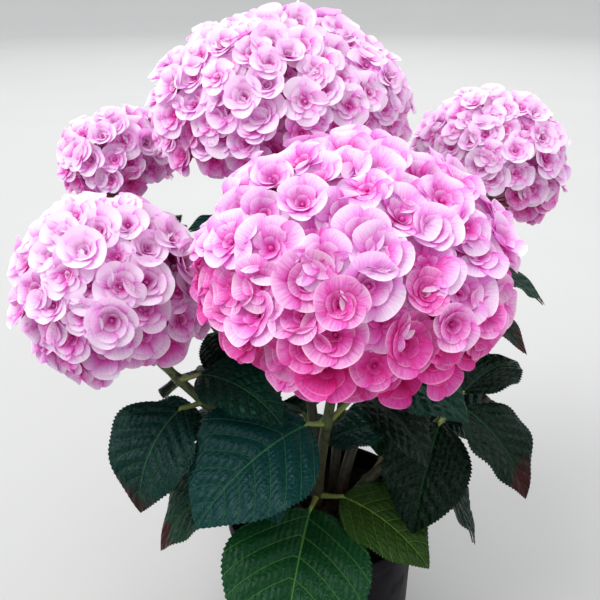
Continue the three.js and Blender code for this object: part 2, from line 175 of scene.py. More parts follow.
# %% The limbs: foot, head and leaf pairs, as in the source of the solids
FLOWERING = {
    "front": dict(
        foot=(-6, -10), head=(12, -70, 361), lean=(0.06, -0.30), across=92, rise=66, seed=3,
        pairs=[(0.80, 150, 76, 8), (0.92, 60, 60, 12)],
    ),
    "left": dict(
        foot=(-19, -3), head=(-140, -21, 321), lean=(-0.36, -0.22), across=62, rise=65, seed=11,
        pairs=[(0.50, 190, 88, -6), (0.80, 150, 76, 4), (0.90, 240, 62, 8)],
    ),
    "back": dict(
        foot=(-2, 14), head=(-33, 100, 415), lean=(-0.05, 0.12), across=99, rise=71, seed=23,
        pairs=[
            (0.20, 85, 104, -6), (0.38, 10, 98, -4), (0.54, 110, 98, 0),
            (0.68, 25, 94, 4), (0.80, 110, 88, 4), (0.90, 20, 78, 6),
        ],
    ),
    "left_back": dict(
        foot=(-15, 13), head=(-174, 152, 361), lean=(-0.45, 0.30), across=49, rise=48, seed=31,
        pairs=[
            (0.20, 160, 104, -8), (0.36, 90, 100, -4), (0.50, 175, 98, -2),
            (0.64, 90, 94, 2), (0.78, 190, 86, 2), (0.90, 100, 66, 4),
        ],
    ),
    "right_back": dict(
        foot=(13, 10), head=(147, 165, 359), lean=(0.40, 0.30), across=67, rise=64, seed=47,
        pairs=[
            (0.20, 30, 104, -8), (0.36, 100, 98, -4), (0.50, 20, 98, -2),
            (0.64, 90, 94, 2), (0.78, 0, 88, 2), (0.90, 80, 68, 4),
        ],
    ),
}
LEAFY = {
    "right": dict(
        foot=(15, -8), tip=(97, -4, 226), seed=59,
        pairs=[(0.30, 60, 90, -4), (0.48, 340, 84, -8), (0.70, 40, 80, 0)],
    ),
    "rear": dict(
        foot=(10, 27), tip=(24, 96, 220), seed=83,
        pairs=[(0.35, 60, 100, -10), (0.65, 130, 96, -6), (0.95, 85, 90, 0)],
    ),
}

# %% The leaves that show best from the front
# limb, height on it, bearing, length, width share, pitch, droop, roll, stalk, sideways bend
LEADING_LEAVES = [
    ("front", 0.13, 257, 122, 0.90, -8, 54, 0, 24, 0),
    ("front", 0.13, 326, 84, 0.82, 4, 60, 4, 24, 0.05),
    ("front", 0.51, 215, 105, 0.94, -2, 50, -15, 17, 0),
    ("front", 0.51, 37, 70, 0.80, 14, 60, 0, 33, 0),
    ("front", 0.70, 322, 66, 0.80, -6, 60, 0, 24, 0),
    ("left", 0.66, 230, 80, 0.94, -14, 68, -10, 22, 0.12),
    ("left", 0.66, 58, 86, 0.84, 24, 50, 0, 18, 0),
    ("left", 0.22, 198, 94, 0.84, -4, 60, 0, 22, 0.10),
    ("right", 0.96, 316, 78, 0.82, -12, 54, 0, 10, -0.06),
    ("right", 0.90, 242, 84, 0.80, -34, 44, 0, 14, 0),
    ("right", 0.96, 38, 66, 0.86, 26, 44, 0, 12, 0),
    ("back", 0.80, 212, 74, 0.80, 34, 40, 0, 20, 0),
]
# tint, from blue-green to yellow-green, and how far the tip has reddened, by row in that list
# Rows 9 and 10 get the darkest tints as painted shade on leaves at the right
LEADING_LOOKS = {
    0: (0.50, 0), 1: (0.72, 0), 2: (0.18, 0), 4: (0.04, 0), 5: (0.13, 0.8), 7: (0.30, 1),
    8: (0.05, 1), 9: (0.0, 0), 10: (0.02, 0),
}
TURNS = [0, 16, -16, 32, -32, 48, -48, 64, -64]
TILTS = [0, -14, 12]
TURNED_SHRINK = 0.2

# %% Space that a leaf keeps
CLEAR_LEAF = 8.5
CLEAR_LIMB = 7.5
CLEAR_STALK = 6
CLEAR_HEAD = 2
CLEAR_RIM = 3.5
LEADING_EASE = 0.55

# %% A seeded generator and the curve of a limb
DICE_FACTOR = 1664525
DICE_STEP = 1013904223
DICE_STATES = 2**32
SWING_OUT = 0.35
FOOT_PULL = 0.42
TOP_PULL = 0.36
TIP_UPRIGHT = 0.6


class Dice:
    """Draws from 0 to 1: a state multiplied and added to, kept to 32 bits."""

    def __init__(self, seed):
        self.state = seed

    def draw(self):
        self.state = (self.state * DICE_FACTOR + DICE_STEP) % DICE_STATES
        return self.state / DICE_STATES

    def spread(self, amount):
        return (2 * self.draw() - 1) * amount


class Limb:
    """A cane or shoot. Its centre line leaves the soil nearly upright, swings out, and comes in
    under its head or reaches its tip."""

    def __init__(self, name, foot, seed, pairs, head=None, lean=None, across=0, rise=0, tip=None):
        self.name, self.seed, self.pairs = name, seed, pairs
        self.across, self.rise, self.flowers = across, rise, head is not None
        foot = np.array([*foot, SOIL_TOP], float)
        if self.flowers:
            self.axis = unit([*lean, 1])
            self.right = unit(np.cross([0, 1, 0], self.axis))
            self.forward = np.cross(self.axis, self.right)
            self.centre = np.array(head, float)
            self.reach = self.centre - self.axis * rise * HEAD_SEAT
        else:
            self.reach = np.array(tip, float)
        run = self.reach - foot
        distance = np.linalg.norm(run)
        arrive = self.axis if self.flowers else unit(run / distance + TIP_UPRIGHT * UP)
        depart = unit(UP + run * (1, 1, 0) * SWING_OUT / distance)
        self.aside = unit(np.cross(run, UP))
        self.controls = np.array([
            foot,
            foot + depart * FOOT_PULL * distance,
            self.reach - arrive * TOP_PULL * distance,
            self.reach,
        ])
        self.line = self.at(np.linspace(0, 1, 40))
        leading = [row[1] for row in LEADING_LEAVES if row[0] == name]
        self.nodes = np.array(leading + [pair[0] for pair in pairs])

    def at(self, t):
        """Points of the cubic curve through its four controls, at shares t."""
        t = np.asarray(t, float)[..., None]
        a, b, c, d = self.controls
        return (1 - t) ** 3 * a + 3 * (1 - t) ** 2 * t * b + 3 * (1 - t) * t**2 * c + t**3 * d

    def radius(self, t):
        """An even taper, a flare at the soil, and a swelling that fades either side of a node."""
        taper = CANE_FOOT_RADIUS + (CANE_TOP_RADIUS - CANE_FOOT_RADIUS) * t
        flare = 1 + FOOT_FLARE * np.exp(-t / NODE_SPREAD)
        away = (t[:, None] - self.nodes) / NODE_SPREAD
        return taper * flare + NODE_SWELL * np.exp(-away * away).max(1)

    def holds(self, points, extra):
        """Whether points lie in the head's outline, an ellipsoid flattened along its axis."""
        offset = points - self.centre
        up = offset @ self.axis
        out = np.linalg.norm(offset - up[:, None] * self.axis, axis=1)
        return (up / (self.rise + extra)) ** 2 + (out / (self.across + extra)) ** 2 < 1


# %% A leaf and its midrib
BLADE_SHOULDER = 0.75
BLADE_FULLNESS = 0.9
STALK_LIFT = math.radians(20)
STALK_FOLLOWS_PITCH = 0.5
TEST_ALONG = np.linspace(0.06, 1, 9)
TEST_ACROSS = np.linspace(-0.95, 0.95, 7)
TEST_STALK = np.linspace(0.3, 1, 4)


def blade_half(s):
    """Half width of a blade along its length, as a share of its greatest: a sine, pushed towards
    the stalk, with its shoulders filled out."""
    return np.sin(math.pi * np.clip(s, 0, 1) ** BLADE_SHOULDER).clip(0) ** BLADE_FULLNESS


class Leaf:
    """A leaf on its stalk: where it starts, which way it heads, and how it bends. It keeps some
    points of its blade and stalk, to test whether it has room."""

    def __init__(self, node, bearing, length, share, pitch, droop, roll, stalk, bend):
        self.node, self.length, self.width = node, length, length * share
        self.pitch, self.droop, self.roll, self.bend = pitch, droop, roll, bend
        self.heading = np.array([math.cos(bearing), math.sin(bearing), 0])
        self.aside = np.array([-math.sin(bearing), math.cos(bearing), 0])
        lift = STALK_LIFT + STALK_FOLLOWS_PITCH * pitch
        self.base = node + stalk * (math.cos(lift) * self.heading + math.sin(lift) * UP)
        self.blade = self.surface(TEST_ALONG, TEST_ACROSS).reshape(-1, 3)
        self.stalk = node + (self.base - node) * TEST_STALK[:, None]

    def midrib(self, s):
        """Point, direction along, across and out of the blade at shares s of its length. The
        midrib sets out at the leaf's pitch and bends down evenly, on a circle's arc."""
        s = np.asarray(s, float)[..., None]
        angle = self.pitch - self.droop * s
        arc = self.length / self.droop
        point = (
            self.base
            + arc * (math.sin(self.pitch) - np.sin(angle)) * self.heading
            + arc * (np.cos(angle) - math.cos(self.pitch)) * UP
            + self.bend * self.length * s * s * self.aside
        )
        along = np.cos(angle) * self.heading + np.sin(angle) * UP
        flat = -np.sin(angle) * self.heading + np.cos(angle) * UP
        side = np.cross(flat, along)
        across = math.cos(self.roll) * side + math.sin(self.roll) * flat
        out = math.cos(self.roll) * flat - math.sin(self.roll) * side
        return point, along, across, out

    def surface(self, s, v, raised=0):
        """The blade at s along it and v across it, from -1 to 1: both halves lift from the midrib
        like an open book and curl down again towards their edges. raised is extra height."""
        if np.ndim(s) == 1:
            s = np.asarray(s, float)[:, None]
        s = np.broadcast_to(s, (len(s), np.shape(v)[-1]))
        point, _, across, out = self.midrib(s)
        half = self.width / 2 * blade_half(s)
        lift = np.abs(v) * half * math.sin(BLADE_FOLD) - BLADE_CURL * v**2 * half + raised
        return point + (v * half * math.cos(BLADE_FOLD))[..., None] * across + lift[..., None] * out


# %% Grow the leaves
BEARING_SPREAD = 7
LENGTH_SPREAD = 5
PITCH_SPREAD = 4
ROLL_SPREAD = 14
DROOP_SPREAD = 9
BEND_SPREAD = 0.06
STALK_LEAST = 14
STALK_SHARE = 0.1


def nearest(first, second):
    """The least distance between two sets of points."""
    return np.sqrt(((first[:, None] - second[None]) ** 2).sum(-1).min())


def fits(leaf, own, limbs, grown, ease):
    """Whether a leaf keeps clear of the pot, the heads, the limbs and the leaves already grown."""
    low = leaf.blade[:, 2] < POT_HEIGHT + CLEAR_RIM
    if (low & (np.hypot(leaf.blade[:, 0], leaf.blade[:, 1]) < RIM_RADIUS + CLEAR_RIM)).any():
        return False
    for limb in limbs:
        if limb.flowers and limb.holds(leaf.blade, CLEAR_HEAD).any():
            return False
        if nearest(leaf.blade, limb.line) < CLEAR_LIMB * ease:
            return False
        if limb is not own and nearest(leaf.stalk, limb.line) < CLEAR_STALK * ease:
            return False
    return all(
        nearest(leaf.blade, other.blade) >= CLEAR_LEAF * ease
        and nearest(leaf.blade, other.stalk) >= CLEAR_STALK * ease
        and nearest(leaf.stalk, other.blade) >= CLEAR_STALK * ease
        for other in grown
    )


def paired_leaf(limb, limbs, grown, dice, height, bearing, length, pitch):
    """One leaf of a pair, turned and tilted until it has room, or None."""
    heading = bearing + dice.spread(BEARING_SPREAD)
    own_length = length + dice.spread(LENGTH_SPREAD)
    own_pitch = pitch + dice.spread(PITCH_SPREAD)
    roll = math.radians(dice.spread(ROLL_SPREAD))
    droop = math.radians(BLADE_DROOP + dice.spread(DROOP_SPREAD))
    bend = dice.spread(BEND_SPREAD)
    for turn in TURNS:
        for tilt in TILTS:
            size = own_length * (1 - TURNED_SHRINK * abs(turn) / max(TURNS))
            leaf = Leaf(
                limb.at(height), math.radians(heading + turn), size, BLADE_SHARE,
                math.radians(own_pitch + tilt), droop, roll, STALK_LEAST + STALK_SHARE * size, bend,
            )
            if fits(leaf, limb, limbs, grown, 1):
                return leaf
    return None


limbs = [Limb(name, **facts) for name, facts in {**FLOWERING, **LEAFY}.items()]
by_name = {limb.name: limb for limb in limbs}
leaves = []
for name, height, bearing, length, share, pitch, droop, roll, stalk, bend in LEADING_LEAVES:
    leaf = Leaf(
        by_name[name].at(height), math.radians(bearing), length, share,
        math.radians(pitch), math.radians(droop), math.radians(roll), stalk, bend,
    )
    if fits(leaf, by_name[name], limbs, leaves, LEADING_EASE):
        leaf.limb = by_name[name]
        leaves.append(leaf)
for limb in limbs:
    dice = Dice(limb.seed)
    for height, bearing, length, pitch in limb.pairs:
        for facing in (0, 180):
            leaf = paired_leaf(limb, limbs, leaves, dice, height, bearing + facing, length, pitch)
            if leaf:
                leaf.limb = limb
                leaves.append(leaf)
print(f"{len(leaves)} leaves have room")

# %% [markdown]
# ## Short ways to build a material
# A material is a graph of nodes, and written out link by link it is long and hard to read. Finish
# keeps the graph and adds one node per call, so a material below reads like a recipe. Patterns
# follow the values that each surface was given above, or the object's own coordinates.

# %% Finish


class Finish:
    """A material and short ways to add nodes to it. A socket or a plain value may feed any input."""

    def __init__(self, name):
        self.material = bpy.data.materials.new(name)
        self.material.use_nodes = True
        self.tree = self.material.node_tree
        self.tree.nodes.clear()

    def feed(self, socket, value):
        if isinstance(value, bpy.types.NodeSocket):
            self.tree.links.new(value, socket)
        else:
            socket.default_value = value

    def add(self, kind, inputs=(), **settings):
        node = self.tree.nodes.new("ShaderNode" + kind)
        for key, value in settings.items():
            setattr(node, key, value)
        for key, value in dict(inputs).items():
            self.feed(node.inputs[key], value)
        return node

    def value(self, name):
        """An attribute of the mesh."""
        return self.add("Attribute", attribute_name=name).outputs["Fac"]

    def math(self, operation, *values):
        node = self.add("Math", operation=operation)
        for socket, value in zip(node.inputs, values):
            self.feed(socket, value)
        return node.outputs[0]

    def times(self, first, second):
        return self.math("MULTIPLY", first, second)

    def smooth(self, value, low, high):
        """0 below low, 1 above high, and a smooth step between."""
        node = self.add("MapRange", {"Value": value, "From Min": low, "From Max": high})
        node.interpolation_type = "SMOOTHSTEP"
        return node.outputs["Result"]

    def blend(self, factor, first, second, mode="MIX"):
        node = self.add("Mix", data_type="RGBA", blend_type=mode)
        for index, value in ((0, factor), (6, first), (7, second)):
            self.feed(node.inputs[index], value)
        return node.outputs[2]

    def ramp(self, factor, *stops):
        """A colour ramp through (place, colour) stops."""
        node = self.add("ValToRGB", {"Fac": factor})
        elements = node.color_ramp.elements
        for index, (place, color) in enumerate(stops):
            element = elements[index] if index < 2 else elements.new(place)
            element.position = place
            element.color = color
        return node.outputs["Color"]

    def noise(self, scale, detail=2.0, vector=None):
        vector = vector or self.add("TexCoord").outputs["Object"]
        inputs = {"Scale": scale, "Detail": detail, "Vector": vector}
        return self.add("TexNoise", inputs).outputs["Fac"]

    def speckle(self, scale, low, high):
        """Where the shared speckle pattern lies: 0 outside the spots and 1 in them."""
        node = self.tree.nodes.new("ShaderNodeGroup")
        node.node_tree = speckle_pattern
        for key, value in (("Scale", scale), ("Low", low), ("High", high)):
            node.inputs[key].default_value = value
        return node.outputs["Mask"]

    def bump(self, height, strength, distance):
        inputs = {"Height": height, "Strength": strength, "Distance": distance}
        return self.add("Bump", inputs).outputs["Normal"]

    def close(self, shader):
        self.add("OutputMaterial", {"Surface": shader})
        print(f"{self.material.name}: a material of {len(self.tree.nodes)} nodes")
        return self.material

    def principled(self, inputs):
        """Closes the material with one Principled shader that these inputs feed."""
        return self.close(self.add("BsdfPrincipled", inputs).outputs[0])


def color(red, green, blue):
    """A colour as it looks on screen, 0 to 255, turned into the linear light that nodes take."""
    screen = np.array([red, green, blue]) / 255
    light = np.where(screen < 0.04045, screen / 12.92, ((screen + 0.055) / 1.055) ** 2.4)
    return (*light.tolist(), 1.0)


# %% A pattern that several surfaces share


def speckle_group():
    """Spots with soft edges: noise in the object's own coordinates, cut between Low and High."""
    group = bpy.data.node_groups.new("speckle", "ShaderNodeTree")
    for name in ("Scale", "Low", "High"):
        group.interface.new_socket(name, in_out="INPUT", socket_type="NodeSocketFloat")
    group.interface.new_socket("Mask", in_out="OUTPUT", socket_type="NodeSocketFloat")
    way_in, way_out, place, noise, cut = (
        group.nodes.new(kind)
        for kind in (
            "NodeGroupInput", "NodeGroupOutput", "ShaderNodeTexCoord", "ShaderNodeTexNoise",
            "ShaderNodeMapRange",
        )
    )
    noise.inputs["Detail"].default_value = 3.0
    cut.interpolation_type = "SMOOTHSTEP"
    for source, target in (
        (place.outputs["Object"], noise.inputs["Vector"]),
        (way_in.outputs["Scale"], noise.inputs["Scale"]),
        (noise.outputs["Fac"], cut.inputs["Value"]),
        (way_in.outputs["Low"], cut.inputs["From Min"]),
        (way_in.outputs["High"], cut.inputs["From Max"]),
        (cut.outputs["Result"], way_out.inputs["Mask"]),
    ):
        group.links.new(source, target)
    return group


speckle_pattern = speckle_group()

# %% [markdown]
# ## Petals
# A hydrangea's "petals" are sepals: papery, a little see-through, deep magenta in the throat, pink
# over most of their length and nearly white along the rim, where the pale margin also carries a painted
# highlight, with fine streaks that fan out from the base. Light that comes through one sepal lands on
# the next and deepens its pink, so a share of translucent shader goes beside the plain one. Each floret
# has one of a few plain pinks, partly dealt at random and partly painted shade: deeper where it faces
# down or sits deep in the head.

# %% Petal finish
TONES = 8
WHORLS = 4
THROUGH_SHARE = 0.46


def petal_finish():
    """Throat to rim by the value along, whiter where edge nears the outline, which is the paler margin
    with a painted highlight on it, deeper by each floret's level of random variety and painted shade,
    streaked across.
    """
    finish = Finish("petal")
    along, edge = finish.value("along"), finish.value("edge")
    across, tone, whorl = finish.value("across"), finish.value("tone"), finish.value("whorl")
    fan = finish.math("DIVIDE", across, finish.math("ADD", along, 0.25))
    spot = finish.add("CombineXYZ", {"X": fan, "Y": finish.times(along, 0.3), "Z": tone})
    streak = finish.noise(11.0, 3.0, spot.outputs[0])
    drift = finish.math("MULTIPLY_ADD", streak, 0.60, -0.27)
    # A deeper floret, from random variety or painted shade, also has a wider magenta throat
    reach = finish.math("MULTIPLY_ADD", whorl, -0.12, finish.math("MULTIPLY_ADD", tone, -0.44, 1.0))
    place = finish.math("MULTIPLY_ADD", along, reach, drift)
    body = finish.ramp(
        place,
        (0.0, color(216, 8, 132)),
        (1.0, color(253, 248, 255)),
        (0.20, color(230, 44, 164)),
        (0.44, color(234, 108, 207)),
        (0.62, color(237, 170, 231)),
        (0.82, color(243, 222, 245)),
    )
    # The paler margin near the outline, with a painted highlight laid on it
    rim = finish.smooth(finish.times(edge, along), 0.80, 0.97)
    pale_margin_and_highlight = finish.times(rim, finish.math("MULTIPLY_ADD", whorl, -0.2, 0.85))
    pale = finish.blend(pale_margin_and_highlight, body, color(254, 247, 255))
    # Painted shade and random variety: the pink deepens with each floret's level
    deep = finish.blend(finish.times(tone, 0.68), pale, color(246, 96, 180), "MULTIPLY")
    tint = finish.blend(finish.times(whorl, 0.08), deep, color(228, 84, 186))
    streaks = finish.times(streak, finish.math("SUBTRACT", 1.0, along))
    paper = finish.add(
        "BsdfPrincipled",
        {
            "Base Color": tint,
            "Roughness": 0.52,
            "Specular IOR Level": 0.2,
            "Normal": finish.bump(streaks, 0.25, 0.0006),
        },
    )
    glow = finish.blend(0.75, tint, color(252, 132, 234), "MULTIPLY")
    through = finish.add("BsdfTranslucent", {"Color": glow})
    both = finish.add("MixShader", {"Fac": THROUGH_SHARE})
    finish.tree.links.new(paper.outputs[0], both.inputs[1])
    finish.tree.links.new(through.outputs[0], both.inputs[2])
    return finish.close(both.outputs[0])


petal = petal_finish()

# %% [markdown]
# ## Double florets
# A floret is four whorls of round, overlapping sepals round a small bud, like a tiny rose seen from
# above: the outer ones lie open, and each whorl inside is shorter and stands more upright. One sepal
# is a square grid pressed into a disc, pulled in to a claw at its base, arched along its length and
# cupped across it. It has only a few dozen faces, because there are thousands of it.

# %% The whorls, from the outside in, and the simpler ones of the layer beneath
# sepals, length share, elevation at the base and at the rim, width share, grid, seat height share
WHORL_SHAPES = [
    (5, 1.06, 34, 0, 0.54, 7, 0.00),
    (5, 0.82, 42, 12, 0.54, 6, 0.02),
    (4, 0.52, 50, 22, 0.60, 5, 0.03),
    (2, 0.26, 58, 36, 0.60, 4, 0.04),
]
UNDER_SHAPES = [
    (5, 1.00, 22, -6, 0.56, 4, 0.00),
    (4, 0.62, 40, 10, 0.56, 4, 0.03),
]


def disc_grid(size):
    """A square grid pressed into a disc: each coordinate shrinks as the other nears its end.
    Returns across, from 1 to -1, and up, from -1 to 1, as size x size arrays."""
    across, up = np.meshgrid(np.linspace(1, -1, size), np.linspace(-1, 1, size))
    return across * np.sqrt(1 - up**2 / 2), up * np.sqrt(1 - across**2 / 2)


# %% [markdown]
# ## Where florets sit on a head
# Florets crowd over the whole dome. Rows and columns would show as lines, and random places leave
# bare patches, so they follow a spiral that turns by the golden angle at each step, as the seeds of
# a sunflower do. No floret sits quite where the spiral puts it or faces straight out.

# %% Places on a head
SPACING_JITTER = 0.3
TURN_JITTER = 0.12
LOOK_UP = 0.90
LOOK_FORWARD = 0.38
LOOK_JITTER = 0.22
FORWARD = np.array([-0.2, -1.0, 0.1])
FLORET_SIZES = (0.82, 1.12)
SEAT_DEPTH = 0.46
SEAT_TILTED = 0.5
SEAT_BULGE = 2.6
SEAT_JITTER = 3.5


def spots_on_head(limb, count, radius, sunk, rng):
    """Places, facings, radii and outward directions of florets: a golden-angle spiral down the
    head's ellipsoid, with equal area to each, from the crown to the skirt, sunk that deep. They
    face outwards, but the low ones turn up and the high ones to the plant's front, and one that
    is tilted sits deeper, so that no edge of it stands off the head."""
    fine = np.linspace(1, math.cos(HEAD_SKIRT), 400)
    band = limb.across * np.sqrt(limb.rise**2 * (1 - fine**2) + limb.across**2 * fine**2)
    area = np.concatenate([[0], np.cumsum((band[1:] + band[:-1]) / 2)])
    share = (np.arange(count) + 0.5 + rng.uniform(-SPACING_JITTER, SPACING_JITTER, count)) / count
    height = np.interp(share * area[-1], area, fine)
    turn = np.arange(count) * GOLDEN_ANGLE + rng.uniform(-TURN_JITTER, TURN_JITTER, count)
    level = np.sqrt(1 - height**2)
    sideways = np.cos(turn)[:, None] * limb.right + np.sin(turn)[:, None] * limb.forward
    place = (
        limb.centre
        + limb.across * level[:, None] * sideways
        + limb.rise * height[:, None] * limb.axis
    )
    normal = unit(level[:, None] / limb.across * sideways + height[:, None] / limb.rise * limb.axis)
    low = (1 - normal @ UP)[:, None] / 2
    turned = LOOK_UP * low * UP + LOOK_FORWARD * (1 - low) * FORWARD
    facing = unit(normal + rng.normal(0, LOOK_JITTER, (count, 3)) + turned)
    tilt = np.linalg.norm(np.cross(normal, facing), axis=1)
    radii = radius * rng.uniform(*FLORET_SIZES, count)
    depth = sunk + (SEAT_DEPTH + SEAT_TILTED * tilt) * radii + radii**2 / (SEAT_BULGE * limb.rise)
    depth = depth + rng.uniform(-SEAT_JITTER, SEAT_JITTER, count)
    return place - depth[:, None] * normal, facing, radii, normal


# %% One whorl of sepals
CLAW = 0.56
CLAW_END = 0.7
RIM_SPREAD = 0.22
THROAT_SHARE = 0.025
HEART_SHRINK = 0.2
SEPAL_LENGTHS = (0.85, 1.09)
SEPAL_WIDTHS = (0.92, 1.12)
OPEN_BASE = 16
OPEN_RIM = 26
ARC_NUDGE = 0.1
CUPPING = (0.40, 0.70)
LEANING = (1, 9)
FRILL_HEIGHT = 0.035
FRILL_WAVES = 3.2
ANY_PHASE = (0, 6.3)
WHORL_TWIST = 0.7
SEPAL_JITTER = 0.15


def add_whorl(skin, spots, shape, index, shaded_tones, pale, rng):
    """One whorl of sepals for every floret of a head. A sepal's length follows an arc whose
    elevation falls from base to rim, its width follows an arc across, and it leans a little over
    its neighbour, all in the floret's own plane, which is then set on the head. The chart gives
    each whorl a column and each tone a row, and a sepal lies a little inside its tile."""
    place, right, forward, facing, radii, spin, openness = spots
    sepals, reach, steep, flat, width_share, size, seat = shape
    florets = len(place)
    pair = (florets, sepals)
    across, up = disc_grid(size)
    along = (up + 1) / 2
    heart = rng.uniform(1 - HEART_SHRINK * index, 1.06, (florets, 1))
    length = (radii[:, None] * reach * heart * rng.uniform(*SEPAL_LENGTHS, pair))[..., None, None]
    width = length * (width_share * rng.uniform(*SEPAL_WIDTHS, pair))[..., None, None]
    start = steep - OPEN_BASE * openness[:, None] + rng.uniform(-4, 4, pair)
    end = flat - OPEN_RIM * openness[:, None] + rng.uniform(-6, 6, pair) + ARC_NUDGE
    start, end = np.radians(start)[..., None, None], np.radians(end)[..., None, None]
    angle = start + (end - start) * along
    out = length * (np.sin(angle) - np.sin(start)) / (end - start)
    rise = length * (np.cos(start) - np.cos(angle)) / (end - start)
    waist = CLAW + (1 - CLAW) * np.clip(along / CLAW_END, 0, 1) ** 0.8
    wide = width * across * waist * (1 + RIM_SPREAD * along**3)
    bend = rng.uniform(*CUPPING, pair)[..., None, None] / width
    sideways = np.sin(bend * wide) / bend
    lean = np.tan(np.radians(rng.uniform(*LEANING, pair)))[..., None, None]
    wave = np.sin(FRILL_WAVES * across + rng.uniform(*ANY_PHASE, pair)[..., None, None])
    frill = FRILL_HEIGHT * length * wave * along**2
    lift = (1 - np.cos(bend * wide)) / bend + lean * wide + frill
    radial = THROAT_SHARE * radii[:, None, None, None] + out - lift * np.sin(angle)
    height = seat * radii[:, None, None, None] + rise + lift * np.cos(angle)
    turn = 2 * math.pi * (np.arange(sepals) + 0.5 * (index % 2)) / sepals
    askew = rng.uniform(-SEPAL_JITTER, SEPAL_JITTER, pair)
    turn = (turn + spin[:, None] + WHORL_TWIST * index + askew)[..., None, None]
    x = radial * np.cos(turn) - sideways * np.sin(turn)
    y = radial * np.sin(turn) + sideways * np.cos(turn)
    axes = [a[:, None, None, None] for a in (place, right, forward, facing)]
    points = axes[0] + x[..., None] * axes[1] + y[..., None] * axes[2] + height[..., None] * axes[3]
    tone = shaded_tones[:, None, None, None]
    chart = np.stack(np.broadcast_arrays(
        (index + 0.5 + 0.46 * across) / WHORLS,
        (tone + 0.04 + 0.92 * along) / TONES,
    ), -1)
    skin.add(
        points,
        along=along, edge=np.hypot(across, up), across=across, whorl=float(index),
        tone=np.broadcast_to((tone - pale) / (TONES - 1), points.shape[:-1]).reshape(-1, size, size),
        chart_map=np.broadcast_to(chart, (*points.shape[:-1], 2)).reshape(-1, size, size, 2),
    )


# %% Buds
BUD_SHARE = 0.075
BUD_HEIGHT = 0.16
BUD_RINGS = np.linspace(0.06, 0.94, 5) * math.pi
BUD_TURNS = np.arange(6) * math.pi / 3


def add_buds(skin, spots, shaded_tones, pale):
    """The closed bud in each throat: a small ball, from rings that swell and close again."""
    place, right, forward, facing, radii = spots[:5]
    ring, turn = np.meshgrid(BUD_RINGS, BUD_TURNS, indexing="ij")
    size = (BUD_SHARE * radii)[:, None, None, None]
    centre = (place + BUD_HEIGHT * radii[:, None] * facing)[:, None, None]
    points = centre + size * (
        (np.sin(ring) * np.cos(turn))[None, ..., None] * right[:, None, None]
        + (np.sin(ring) * np.sin(turn))[None, ..., None] * forward[:, None, None]
        - np.cos(ring)[None, ..., None] * facing[:, None, None]
    )
    tone = shaded_tones[:, None, None]
    chart = np.stack(np.broadcast_arrays((WHORLS - 0.5) / WHORLS, (tone + 0.6) / TONES), -1)
    skin.add(
        points, closed=True,
        along=0.6, edge=0.5, across=0.0, whorl=float(WHORLS - 1),
        tone=(tone - pale) / (TONES - 1), chart_map=chart,
    )


# %% Stalks inside a head
PEDICEL_RADIUS = 0.75
RAY_RADIUS = 1.5
RAY_STEPS = 6
HUB_DEPTH = 0.5
RAY_SAG = 6
RAY_SWING = 0.12
SEPAL_CLEAR = 0.6


def add_pedicels(skin, limb, place, facing):
    """From a hub over the cane's end each floret has a thin stalk, on a curve that sets out
    towards the floret and arrives square under it. It thins from a stout ray to a thread."""
    hub = limb.centre - limb.axis * limb.rise * HUB_DEPTH
    steps = np.linspace(0, 1, RAY_STEPS)[None, :, None]
    reach = np.linalg.norm(place - hub, axis=1)[:, None]
    bend = (hub + (place - hub) * 0.5 - limb.axis * RAY_SAG - facing * reach * RAY_SWING)[:, None]
    foot = place[:, None] - facing[:, None] * SEPAL_CLEAR
    path = (1 - steps) ** 2 * hub + 2 * (1 - steps) * steps * bend + steps**2 * foot
    radii = RAY_RADIUS + (PEDICEL_RADIUS - RAY_RADIUS) * np.linspace(0, 1, RAY_STEPS) ** 0.5
    for line in path:
        skin.add(tube(line, radii, 5, limb.forward), closed=True, height=steps[0], rosy=steps[0])


# %% Build the heads
# florets, floret radius and paleness of each head
HEADS = {
    "front": (144, 15.9, 0.0),
    "left": (88, 15.8, 5.6),
    "back": (196, 14.2, 5.2),
    "left_back": (66, 14.0, 3.6),
    "right_back": (124, 13.6, 4.2),
}
UNDER_COUNT = 0.5
UNDER_DEPTH = 19.0
OPENNESS = (-1.0, 0.9)
# How far painted shade deepens a floret: by how low it faces and how deep it sits
SHADE_BY_FACING = 13
TONE_START = 3.0
SHADE_BY_DEPTH = 0.24
TONE_SPREAD = 1.4


def flower_head(limb, count, radius, pale):
    """All florets of one head as one piece: the outer ones, and under them simpler ones that fill the
    gaps, made darker as painted shade. A floret's pink is dealt at random about a level that deepens
    with how low it faces and how deep it sits, which is painted shade. Returns the places and facings
    of the outer ones, for their stalks."""
    rng = np.random.default_rng(limb.seed)
    skin = Skin()
    layers = [(count, 0.0, WHORL_SHAPES), (int(count * UNDER_COUNT), UNDER_DEPTH, UNDER_SHAPES)]
    for number, sunk, shapes in layers:
        place, facing, radii, normal = spots_on_head(limb, number, radius, sunk, rng)
        right = unit(np.cross(facing, limb.forward + 0.01))
        forward = np.cross(facing, right)
        spin = rng.uniform(0, 2 * math.pi, number)
        openness = rng.uniform(*OPENNESS, number)
        low = (1 - (normal @ UP)) / 2
        # Painted shade: florets that face down or sit deep get a deeper pink
        shade_tone = SHADE_BY_FACING * low - TONE_START + SHADE_BY_DEPTH * sunk
        shaded_tones = np.clip(rng.normal(shade_tone, TONE_SPREAD), 0, TONES - 1).round()
        spots = (place, right, forward, facing, radii, spin, openness)
        for index, shape in enumerate(shapes):
            add_whorl(skin, spots, shape, index, shaded_tones, pale, rng)
        if sunk == 0:
            add_buds(skin, spots, shaded_tones, pale)
            outer = (place, facing)
    skin.piece(f"florets_{limb.name}", petal, "petal", f"flower_head_{limb.name}")
    return outer


# %% [markdown]
# ## Leaves
# A hydrangea's leaf is broad, saw-toothed and quilted: the skin puffs up between eight or so pairs
# of side veins, which sweep from the midrib towards the edge. The teeth and the quilting are in the
# mesh, because they change the outline and the highlights, and the finest net of veins is bump.
# Each leaf has its own tint, from nearly black-green to the yellow-green of the lowest ones.

